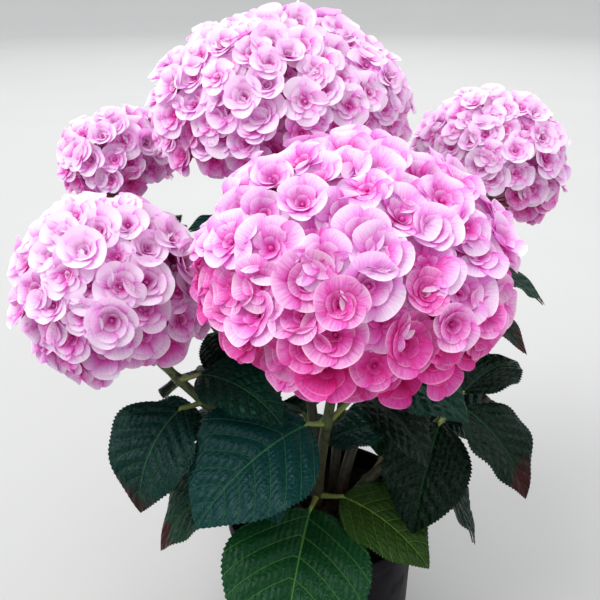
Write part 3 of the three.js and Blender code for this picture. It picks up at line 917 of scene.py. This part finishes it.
# %% Shape of a blade
SIDE_VEINS = 8
TEETH = 34
TOOTH_DEPTH = 1.5
TOOTH_LEAN = 0.35
QUILT_HEIGHT = 2.2
EDGE_WAVE = 2.0
RIB_GROOVE = 0.7
BLADE_COLUMNS = 25
VEIN_CLIMB = 0.24
VEIN_SWEEP = 0.10
VEIN_START = 0.4
VEIN_STAGGER = 0.18
VEIN_WIDTH = 0.16
QUILT_LEVEL = 0.6
RIB_WIDTH = 1.8
RIB_FLAT = 3.2
TOOTH_LEAST_HALF = 4
RIM_WAVES = (2.2, 3.6)
DIMPLE_HEIGHT = 0.5


def vein_phase(s, v):
    """Counts side veins: whole numbers lie on a vein. A vein climbs towards the tip as it runs
    out, first straight and then bending forward, and less where the blade is narrow."""
    side = np.where(v < 0, VEIN_STAGGER, 0.0)
    climb = (VEIN_CLIMB * np.abs(v) + VEIN_SWEEP * v**2) * (0.25 + 0.75 * blade_half(s))
    return SIDE_VEINS * (s - climb) + side + VEIN_START


def leaf_grid(leaf, rng):
    """The fine blade: the leaf's own surface with a toothed edge, quilted skin and wavy rim. Every
    second row of points is a tooth. The skin is raised by one minus a bell over each vein, sunk by
    a bell over the midrib, and waved along the rim. Returns the points and the values for them."""
    rows = 2 * TEETH + 1
    s = np.linspace(0.0, 1.0, rows)[:, None]
    v = np.linspace(1, -1, BLADE_COLUMNS)[None]
    rim = np.abs(v) ** 10
    tooth = (np.arange(rows) % 2)[:, None] * np.sin(math.pi * s.clip(0.02, 0.98)) ** 0.4
    half = leaf.width / 2 * blade_half(s)
    reach = v * (1 + (tooth - 0.5) * rim * TOOTH_DEPTH / np.maximum(half, TOOTH_LEAST_HALF))
    along = np.clip(s + rim * tooth * TOOTH_LEAN / rows, 0, 1)
    phase = vein_phase(s, v)
    from_vein = np.abs(phase - np.round(phase))
    beside_rib = 1 - np.exp(-((v * half / RIB_FLAT) ** 2))
    inner = (1 - np.abs(v) ** 6) * np.sin(math.pi * s) ** 0.5 * beside_rib
    puff = QUILT_HEIGHT * (1 - np.exp(-((from_vein / VEIN_WIDTH) ** 2)) - QUILT_LEVEL) * inner
    groove = -RIB_GROOVE * np.exp(-((v * half / RIB_WIDTH) ** 2)) * (1 - s)
    start = rng.uniform(*ANY_PHASE, 2)
    count = rng.uniform(*RIM_WAVES, 2)
    side = (v < 0).astype(int)
    wave = np.sin(2 * math.pi * count[side] * s + start[side])
    ripple = EDGE_WAVE * np.abs(v) ** 3 * wave * np.sin(math.pi * s)
    dimple = DIMPLE_HEIGHT * np.sin(phase * 2 * math.pi + 9 * np.abs(v)) * inner * np.abs(v)
    points = leaf.surface(along, reach, puff + groove + ripple + dimple)
    flat = np.stack(np.broadcast_arrays(v * half, s * leaf.length), -1) / 100
    return points, dict(
        phase=phase,
        rib=np.abs(v) * half,
        along=s * np.ones_like(v),
        across=v * np.ones_like(s),
        flat_map=flat,
    )


# %% Leaf finish


def leaf_finish():
    """Dark skin with paler veins: the side veins where phase nears a whole number, the midrib where
    rib nears zero, a fine net between, and reddened or yellowed skin where a leaf has it."""
    finish = Finish("leaf")
    phase, rib, along = finish.value("phase"), finish.value("rib"), finish.value("along")
    tint, scorch = finish.value("tint"), finish.value("scorch")
    flat = finish.add("UVMap", uv_map="Flat").outputs["UV"]
    whole = finish.math("ABSOLUTE", finish.math("SUBTRACT", phase, finish.math("ROUND", phase)))
    side_vein = finish.smooth(whole, 0.055, 0.0)
    narrowed = finish.math("DIVIDE", rib, finish.math("SUBTRACT", 1.15, along))
    mid_vein = finish.smooth(narrowed, 1.25, 0.35)
    cells = finish.add("TexVoronoi", {"Vector": flat, "Scale": 26.0}, feature="DISTANCE_TO_EDGE")
    net = finish.smooth(cells.outputs["Distance"], 0.08, 0.0)
    pillow = finish.smooth(cells.outputs["Distance"], 0.0, 0.40)
    veins = finish.math("MAXIMUM", finish.times(side_vein, 0.75), mid_vein)
    skin = finish.ramp(
        tint,
        (0.0, color(2, 13, 5)),
        (1.0, color(118, 138, 40)),
        (0.08, color(2, 20, 9)),
        (0.18, color(5, 44, 43)),
        (0.32, color(4, 40, 24)),
        (0.60, color(10, 54, 17)),
        (0.80, color(50, 66, 14)),
    )
    mottle = finish.noise(60.0, 3.0)
    skin = finish.blend(finish.times(mottle, 0.5), skin, color(110, 150, 140), "SOFT_LIGHT")
    veined = finish.blend(finish.times(veins, 0.5), skin, finish.ramp(
        tint, (0.0, color(34, 72, 38)), (1.0, color(186, 200, 100)),
        (0.18, color(64, 114, 76)), (0.6, color(92, 150, 60)),
    ))
    netted = finish.blend(finish.times(net, 0.10), veined, color(60, 106, 74))
    blotch = finish.noise(26.0, 4.0)
    patch = finish.smooth(finish.math("ADD", along, blotch), 1.22, 1.34)
    tinted = finish.blend(finish.times(scorch, patch), netted, color(46, 11, 13))
    wander = finish.times(finish.noise(70.0), 6.0)
    ladder = finish.math("SINE", finish.math("MULTIPLY_ADD", rib, 1.4, wander))
    ribbed = finish.math("MULTIPLY_ADD", ladder, 0.22, finish.times(pillow, 0.3))
    relief = finish.math("MULTIPLY_ADD", veins, -0.8, ribbed)
    gloss = finish.math("MULTIPLY_ADD", finish.noise(90.0), 0.20, 0.28)
    return finish.principled({
        "Base Color": tinted,
        "Roughness": gloss,
        "Specular IOR Level": 0.12,
        "Specular Tint": color(222, 244, 240),
        "Normal": finish.bump(relief, 0.7, 0.0014),
    })


leaf_skin = leaf_finish()

# %% [markdown]
# ## Canes and leaf stalks
# A young cane is green wood with dark freckles that browns with age, so it is brownest at the soil.
# A leaf stalk is smooth and juicy, clasps the cane with a broad foot, and goes on under the blade as
# its midrib. Both are tubes, a ring of points carried along the curve that the leaf or cane grew on.

# %% Stalks and canes finish


def cane_finish():
    """Green bark that browns towards the soil, with dark purple freckles."""
    finish = Finish("cane")
    height = finish.value("height")
    freckle = finish.speckle(270.0, 0.53, 0.60)
    patches = finish.noise(70.0, 3.0)
    age = finish.math("ADD", height, finish.math("MULTIPLY_ADD", patches, 0.5, -0.25))
    bark = finish.ramp(
        age,
        (0.0, color(60, 50, 32)),
        (1.0, color(88, 108, 52)),
        (0.30, color(52, 54, 28)),
        (0.60, color(62, 76, 36)),
    )
    dark = finish.blend(finish.times(freckle, 0.85), bark, color(40, 20, 28))
    return finish.principled({
        "Base Color": dark,
        "Roughness": 0.5,
        "Normal": finish.bump(finish.noise(300.0, 4.0), 0.35, 0.0006),
    })


def stalk_finish():
    """Juicy green, tinged with red in patches, and rose red towards a floret."""
    finish = Finish("leaf_stalk")
    blush = finish.speckle(55.0, 0.50, 0.72)
    green = finish.blend(finish.value("height"), color(118, 132, 62), color(96, 120, 58))
    tinged = finish.blend(finish.times(blush, 0.40), green, color(126, 58, 50))
    juicy = finish.blend(finish.value("rosy"), tinged, color(176, 44, 104))
    return finish.principled({
        "Base Color": juicy,
        "Roughness": 0.4,
        "Normal": finish.bump(finish.noise(500.0), 0.2, 0.0004),
    })


cane_bark = cane_finish()
stalk_green = stalk_finish()

# %% Stalks and midribs
STALK_ROOT = 2.9
STALK_NECK = 1.75
STALK_SIDES = 8
KNEE_PLACE = 0.55
KNEE_DROP = 1.5
RIB_START = 0.92
RIB_END = 0.35
RIB_SUNK = 0.85
RIB_CLEAR = 0.7


def add_stalk(skin, leaf):
    """The stalk clasps the cane, runs to the blade on a gentle curve and goes on under it as the
    midrib, thinner and thinner, to the tip."""
    step = np.linspace(0, 1, 8)[:, None]
    knee = leaf.node + (leaf.base - leaf.node) * KNEE_PLACE - UP * KNEE_DROP
    free = (1 - step) ** 2 * leaf.node + 2 * (1 - step) * step * knee + step**2 * leaf.base
    s = np.linspace(0.04, 0.97, 14)
    point, _, _, out = leaf.midrib(s)
    rib_radii = STALK_NECK * RIB_START * (1 - s) ** 0.7 + RIB_END * s
    under = point - out * (rib_radii * RIB_SUNK + RIB_GROOVE * (1 - s) + RIB_CLEAR)[:, None]
    path = np.concatenate([free, under])
    root_radii = STALK_NECK + (STALK_ROOT - STALK_NECK) * (1 - step[:, 0]) ** 3
    skin.add(
        tube(path, np.concatenate([root_radii, rib_radii]), STALK_SIDES, leaf.aside),
        closed=True, height=np.linspace(0, 1, len(path))[:, None], rosy=0.0,
    )


# %% Canes
CANE_ROWS = 150
CANE_SIDES = 20
CANE_START = -0.008
BUD_TAPER = 0.05
BUD_TIP = 0.12


def add_cane(skin, limb):
    """The cane's own curve with its true radius, faint ribs along it and knobs where leaf pairs
    sit. A flowering cane runs on into its head, and a leafy shoot narrows into its last bud."""
    t = np.linspace(CANE_START, 1 if limb.flowers else SHOOT_END, CANE_ROWS)
    path = limb.at(t)
    radii = limb.radius(t.clip(0))
    if limb.flowers:
        inside = np.linspace(0.05, 0.45, 8)[:, None] * limb.rise
        path = np.concatenate([path, limb.reach + inside * limb.axis])
        radii = np.concatenate([radii, np.linspace(CANE_TOP_RADIUS, RAY_RADIUS * 1.6, 8)])
    else:
        radii = radii * np.clip((1.004 - t / SHOOT_END) / BUD_TAPER, BUD_TIP, 1) ** 0.6
    turn = np.arange(CANE_SIDES)[None] * 2 * math.pi / CANE_SIDES
    down = np.linspace(0, 1, len(path))[:, None]
    ribs = 1 + 0.035 * np.cos(6 * turn + 5 * down) + 0.02 * np.cos(11 * turn - 40 * down)
    skin.add(tube(path, radii[:, None] * ribs, CANE_SIDES, limb.aside), closed=True, height=down)


# %% [markdown]
# ## Dress every cane
# Each cane gets its leaves, their stalks and, if it flowers, its head, as a few pieces that take the
# place of its solids. Low leaves are the oldest and the yellowest. Each leaf has a tile of its own
# in the chart.

# %% Leaves, stalks, canes and heads
TINTS = (0.0, 0.34)
LOW_TINT = 0.16
LOW_FROM = 200
LOW_REACH = 90
REDDENED_SHARE = 0.08
TILES_ACROSS = 4
tint_of = np.random.default_rng(5)
for limb in limbs:
    own = [leaf for leaf in leaves if leaf.limb is limb]
    blades, stalks, cane = Skin(), Skin(), Skin()
    for index, leaf in enumerate(own):
        low = np.clip((LOW_FROM - leaf.node[2]) / LOW_REACH, 0, 1)
        tint = tint_of.uniform(*TINTS) + LOW_TINT * low
        scorch = float(tint_of.uniform() < REDDENED_SHARE)
        tint, scorch = LEADING_LOOKS.get(leaves.index(leaf), (tint, scorch))
        points, values = leaf_grid(leaf, tint_of)
        tile = np.array([index % TILES_ACROSS, index // TILES_ACROSS])
        chart = np.stack([0.5 + 0.47 * values["across"], 0.03 + 0.94 * values["along"]], -1)
        chart = (chart + tile) / TILES_ACROSS
        blades.add(points, tint=tint, scorch=scorch, chart_map=chart, **values)
        add_stalk(stalks, leaf)
    add_cane(cane, limb)
    blades.piece(f"leaves_{limb.name}", leaf_skin, "leaf", f"foliage_{limb.name}")
    stalks.piece(f"leaf_stalks_{limb.name}", stalk_green, "cane", f"foliage_{limb.name}")
    cane.piece(f"stem_{limb.name}", cane_bark, "cane", f"cane_{limb.name}", f"foliage_{limb.name}")
    if limb.flowers:
        place, facing = flower_head(limb, *HEADS[limb.name])
        rays = Skin()
        add_pedicels(rays, limb, place, facing)
        rays.piece(f"flower_stalks_{limb.name}", stalk_green, "cane", f"flower_head_{limb.name}")

# %% [markdown]
# ## Pot and growing medium
# The pot is moulded plastic, a wall of a couple of millimetres with a thick band round its mouth.
# A profile turned about the upright axis gives it in one go, with small arcs where a mould has
# rounded edges. The medium is a bed of fine peat with bits of bark, so it is a disc with lumps, and
# loose crumbs pressed into it.

# %% Pot
RIM_EDGE = 1.4
POT_SIDES = 96


def arc(centre, radius, start, end, steps=5):
    """Points (radius, height) on a round edge, from one angle to another, in degrees."""
    angle = np.radians(np.linspace(start, end, steps))
    return np.stack([centre[0] + radius * np.cos(angle), centre[1] + radius * np.sin(angle)], -1)


def pot_profile():
    """The pot's outline from the middle of its underside, round the rim, to the middle inside."""
    shoulder = POT_HEIGHT - RIM_DEPTH
    inner = POT_SHOULDER_RADIUS - POT_WALL
    edge = RIM_EDGE
    return np.concatenate([
        [[POT_FOOT_RADIUS - 30, 1.5], [POT_FOOT_RADIUS - 9, 1.5]],
        arc((POT_FOOT_RADIUS - 7, 1.5), 1.5, 180, 270),
        arc((POT_FOOT_RADIUS - 2.5, 2.5), 2.5, 270, 360),
        [[POT_SHOULDER_RADIUS - 0.1, shoulder - 5]],
        arc((POT_SHOULDER_RADIUS + 1.0, shoulder - 1.2), 1.0, 180, 90, 3),
        arc((RIM_RADIUS - edge, shoulder + edge), edge, 270, 360),
        arc((RIM_RADIUS - edge, POT_HEIGHT - edge), edge, 0, 90),
        arc((inner + edge, POT_HEIGHT - edge), edge, 90, 180),
        [[inner, shoulder], [POT_FOOT_RADIUS - POT_WALL, 4], [POT_FOOT_RADIUS - 30, 4]],
    ])


def turned(profile, sides):
    """A profile of (radius, height) carried round the upright axis."""
    turn = np.arange(sides) * 2 * math.pi / sides
    radius, height = profile[:, :1], profile[:, 1:]
    return np.stack(np.broadcast_arrays(radius * np.cos(turn), radius * np.sin(turn), height), -1)


def pot_finish():
    """Very dark plum plastic with a soft gloss, scuffed and dusty in faint patches."""
    finish = Finish("pot_plastic")
    dust = finish.speckle(40.0, 0.45, 0.75)
    base = finish.blend(finish.times(dust, 0.04), color(5, 1, 8), color(66, 54, 64))
    return finish.principled({
        "Base Color": base,
        "Roughness": finish.math("MULTIPLY_ADD", dust, 0.2, 0.45),
        "Specular IOR Level": 0.07,
        "Normal": finish.bump(finish.noise(900.0, 2.0), 0.12, 0.0003),
    })


pot = Skin()
pot.add(turned(pot_profile(), POT_SIDES), closed=True)
pot.piece("pot_shell", pot_finish(), "pot_plastic", "pot")

# %% Growing medium
BED_RINGS = 40
BED_SIDES = 120
BED_CLEAR = 0.6
BED_RELIEF = 0.9
BED_DEPTH = 14
CRUMBS = 700
CRUMB_SIZES = (0.7, 2.4)
CRUMB_RINGS = np.array([0.1, 0.5, 0.9]) * math.pi
CRUMB_TURNS = np.arange(5) * 2 * math.pi / 5


def peat_finish():
    """Nearly black-brown, with paler crumbs and fibres."""
    finish = Finish("peat")
    grain = finish.noise(700.0, 5.0)
    brown = finish.ramp(
        grain,
        (0.30, color(26, 19, 15)),
        (0.80, color(96, 74, 54)),
        (0.55, color(48, 36, 28)),
    )
    return finish.principled({
        "Base Color": brown,
        "Roughness": 0.95,
        "Normal": finish.bump(grain, 0.8, 0.0015),
    })


def lumps(x, y, rng, count=40):
    """Height of an uneven bed: many waves of different directions and lengths, added up."""
    direction = rng.uniform(0, 2 * math.pi, count)
    pitch = rng.uniform(0.12, 0.9, count)
    start = rng.uniform(0, 2 * math.pi, count)
    wave = np.cos(direction) * x[..., None] + np.sin(direction) * y[..., None]
    return (np.sin(wave * pitch + start) / pitch**0.5).sum(-1) / count**0.5


def medium_bed(rng):
    """A disc of rings, lumpy on top with the lumps fading towards the wall, and a skirt down into the
    pot.
    """
    reach = POT_SHOULDER_RADIUS - POT_WALL - BED_CLEAR
    radius = np.linspace(reach, 2, BED_RINGS)[:, None]
    turn = np.arange(BED_SIDES)[None] * 2 * math.pi / BED_SIDES
    x, y = radius * np.cos(turn), radius * np.sin(turn)
    fade = np.clip((reach - radius) / 6, 0.15, 1)
    height = SOIL_TOP - 1.0 + BED_RELIEF * lumps(x, y, rng) * fade
    top = np.stack([x, y, height], -1)
    skirt = top[:1] * (1, 1, 0) + (0, 0, SOIL_TOP - BED_DEPTH)
    return np.concatenate([skirt, top])


def crumbs(count, rng):
    """Loose bits: coarse balls of three rings of five points, each point moved in or out a little,
    squashed and pressed into the bed at random places."""
    radius = (POT_SHOULDER_RADIUS - 8) * np.sqrt(rng.uniform(0, 1, count))
    turn = rng.uniform(0, 2 * math.pi, count)
    size = rng.uniform(*CRUMB_SIZES, (count, 1, 1, 3)) * (1, 1, 0.6)
    ring, step = np.meshgrid(CRUMB_RINGS, CRUMB_TURNS, indexing="ij")
    ball = np.stack([np.sin(ring) * np.cos(step), np.sin(ring) * np.sin(step), -np.cos(ring)], -1)
    ball = ball[None] * size * rng.uniform(0.8, 1.2, (count, 3, 5, 1))
    level = np.full(count, SOIL_TOP + 0.2)
    place = np.stack([radius * np.cos(turn), radius * np.sin(turn), level], -1)
    return ball + place[:, None, None]


bed_rng = np.random.default_rng(17)
bed = Skin()
bed.add(medium_bed(bed_rng), closed=True)
bed.add(crumbs(CRUMBS, bed_rng), closed=True)
bed.piece("medium_surface", peat_finish(), "peat", "growing_medium")

# %% [markdown]
# ## Floor, light and camera
# The photograph is taken in soft daylight from a little above the plant. A broad pale sky gives
# most of it, a large soft source from the upper left models the heads, a second one from behind
# lights their far rims, and a weak third one keeps the right side from going black. The camera
# stands in front of the plant and looks down on it.

# %% Floor
FLOOR_REACH = 6.5
SWEEP_RADIUS = 3.0
FLOOR_SIDES = 96


def floor_finish():
    """Plain pale stone."""
    finish = Finish("floor")
    shade = finish.blend(finish.noise(3.0, 3.0), color(158, 156, 154), color(163, 161, 159))
    return finish.principled({"Base Color": shade, "Roughness": 0.6})


def studio_floor():
    """A flat round floor, in metres, whose edge sweeps up in nearly a quarter circle, so that no
    horizon shows from any side. The rings run inwards, so that their faces look up."""
    rise = np.radians(np.linspace(80, 0, 20))
    radius = FLOOR_REACH + SWEEP_RADIUS * np.sin(rise)
    height = SWEEP_RADIUS * (1 - np.cos(rise))
    profile = np.concatenate([np.stack([radius, height], -1), [[0.001, 0.0]]])
    return turned(profile, FLOOR_SIDES)


grid = studio_floor()
floor_faces = grid_faces(*grid.shape[:2], closed=True)
floor_mesh = bpy.data.meshes.new("floor")
floor_mesh.from_pydata(grid.reshape(-1, 3).tolist(), [], floor_faces.tolist())
floor_mesh.shade_smooth()
floor_mesh.materials.append(floor_finish())
floor = bpy.data.objects.new("floor", floor_mesh)
bpy.context.scene.collection.objects.link(floor)
print(f"floor: {len(floor_faces)} faces, {FLOOR_REACH} m to where it starts to rise")

# %% Light
SKY_STRENGTH = 1.45
SKY_COLOR = (0.92, 0.96, 1.0, 1)
AIM = (0, 0, 0.3)


def soft_light(name, place, size, power, tint=(1, 1, 1)):
    """A square area light at a place in metres, turned to the middle of the plant."""
    data = bpy.data.lights.new(name, "AREA")
    data.size, data.energy, data.color = size, power, tint
    light = bpy.data.objects.new(name, data)
    bpy.context.scene.collection.objects.link(light)
    light.location = place
    towards = np.array(AIM) - np.array(place)
    pitch = math.atan2(np.hypot(towards[0], towards[1]), -towards[2])
    light.rotation_euler = (pitch, 0, math.atan2(-towards[0], towards[1]))
    print(f"{name} light: {size} m wide, {power} W, {np.linalg.norm(towards):.1f} m away")


world = bpy.data.worlds.new("sky")
world.use_nodes = True
sky = world.node_tree.nodes["Background"].inputs
sky["Color"].default_value = SKY_COLOR
sky["Strength"].default_value = SKY_STRENGTH
bpy.context.scene.world = world
soft_light("key", (-3.5, -1.3, 5.2), 3.7, 335, (0.97, 0.99, 1.0))
soft_light("fill", (3.9, -3.0, 3.9), 3.6, 18)
soft_light("back", (0.6, 4.5, 4.8), 3.0, 190)

# %% Camera
CAMERA_PLACE = (-0.018, -0.440, 0.510)
CAMERA_PITCH = 25.07
FOCAL_LENGTH = 42
SENSOR_WIDTH = 36
camera_data = bpy.data.cameras.new("camera")
camera_data.lens = FOCAL_LENGTH
camera_data.sensor_width = SENSOR_WIDTH
camera = bpy.data.objects.new("camera", camera_data)
bpy.context.scene.collection.objects.link(camera)
camera.location = CAMERA_PLACE
camera.rotation_euler = (math.radians(90 - CAMERA_PITCH), 0, 0)
bpy.context.scene.camera = camera
bpy.context.scene.view_settings.view_transform = "Standard"
print(f"the camera stands {CAMERA_PLACE[2]} m high and looks down {CAMERA_PITCH} degrees")
